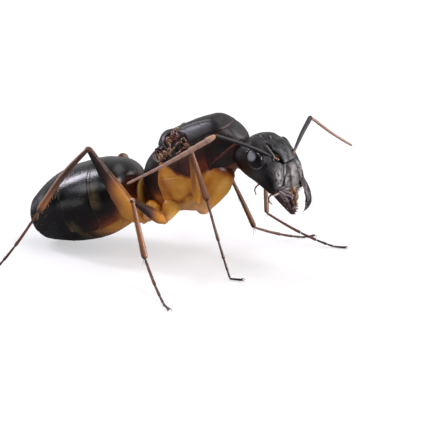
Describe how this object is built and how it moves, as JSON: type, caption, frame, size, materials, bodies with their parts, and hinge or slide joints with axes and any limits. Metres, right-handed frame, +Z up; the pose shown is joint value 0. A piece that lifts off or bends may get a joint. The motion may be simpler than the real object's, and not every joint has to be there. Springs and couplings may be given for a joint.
{
  "type": "carpenter ant queen, still museum model",
  "caption": "Life-size still model of a wingless carpenter ant queen standing on her feet, with raised antennae, toothed mandibles and a round gaster.",
  "frame": {"origin": "on the floor that the feet stand on, under the middle of the whole footprint, feelers and feet included", "axes": "+X towards the head, +Y to the ant's left, +Z up"},
  "size_m": [0.0234, 0.0202, 0.0099],
  "materials": {
    "black_shell": "glossy black insect shell with a faint fine grain",
    "brown_shell": "glossy dark brown shell",
    "amber_shell": "satin amber shell, slightly see-through in the real animal",
    "leg_shell": "satin reddish-brown shell with fine hairs",
    "mandible": "hard glossy dark red-brown with black teeth",
    "eye": "dark faceted eye with a soft sheen",
    "mouthparts": "soft orange-brown mouthparts with a fringe"
  },
  "bodies": {
    "root": {"mesoscutum": "black_shell", "mesoscutellum": "black_shell", "pronotum": "black_shell", "head": "black_shell", "clypeus": "black_shell", "gaster_segment_1": "black_shell", "gaster_segment_2": "black_shell", "gaster_segment_3": "black_shell", "gaster_segment_4": "black_shell", "gaster_segment_5": "black_shell", "propleuron": "brown_shell", "mesopleuron_upper": "brown_shell", "propodeum": "brown_shell", "mesopleuron_lower": "amber_shell", "petiole": "amber_shell", "mouthparts": "mouthparts", "eye_right": "eye", "mandible_right": "mandible", "antenna_scape_right": "black_shell", "antenna_funiculus_right": "leg_shell", "wing_root_right": "leg_shell", "coxa_fore_right": "amber_shell", "femur_fore_right": "leg_shell", "tibia_fore_right": "leg_shell", "tarsus_fore_right": "leg_shell", "coxa_mid_right": "amber_shell", "femur_mid_right": "leg_shell", "tibia_mid_right": "leg_shell", "tarsus_mid_right": "leg_shell", "coxa_hind_right": "amber_shell", "femur_hind_right": "leg_shell", "tibia_hind_right": "leg_shell", "tarsus_hind_right": "leg_shell", "eye_left": "eye", "mandible_left": "mandible", "antenna_scape_left": "black_shell", "antenna_funiculus_left": "leg_shell", "wing_root_left": "leg_shell", "coxa_fore_left": "amber_shell", "femur_fore_left": "leg_shell", "tibia_fore_left": "leg_shell", "tarsus_fore_left": "leg_shell", "coxa_mid_left": "amber_shell", "femur_mid_left": "leg_shell", "tibia_mid_left": "leg_shell", "tarsus_mid_left": "leg_shell", "coxa_hind_left": "amber_shell", "femur_hind_left": "leg_shell", "tibia_hind_left": "leg_shell", "tarsus_hind_left": "leg_shell"}
  },
  "joints": []
}
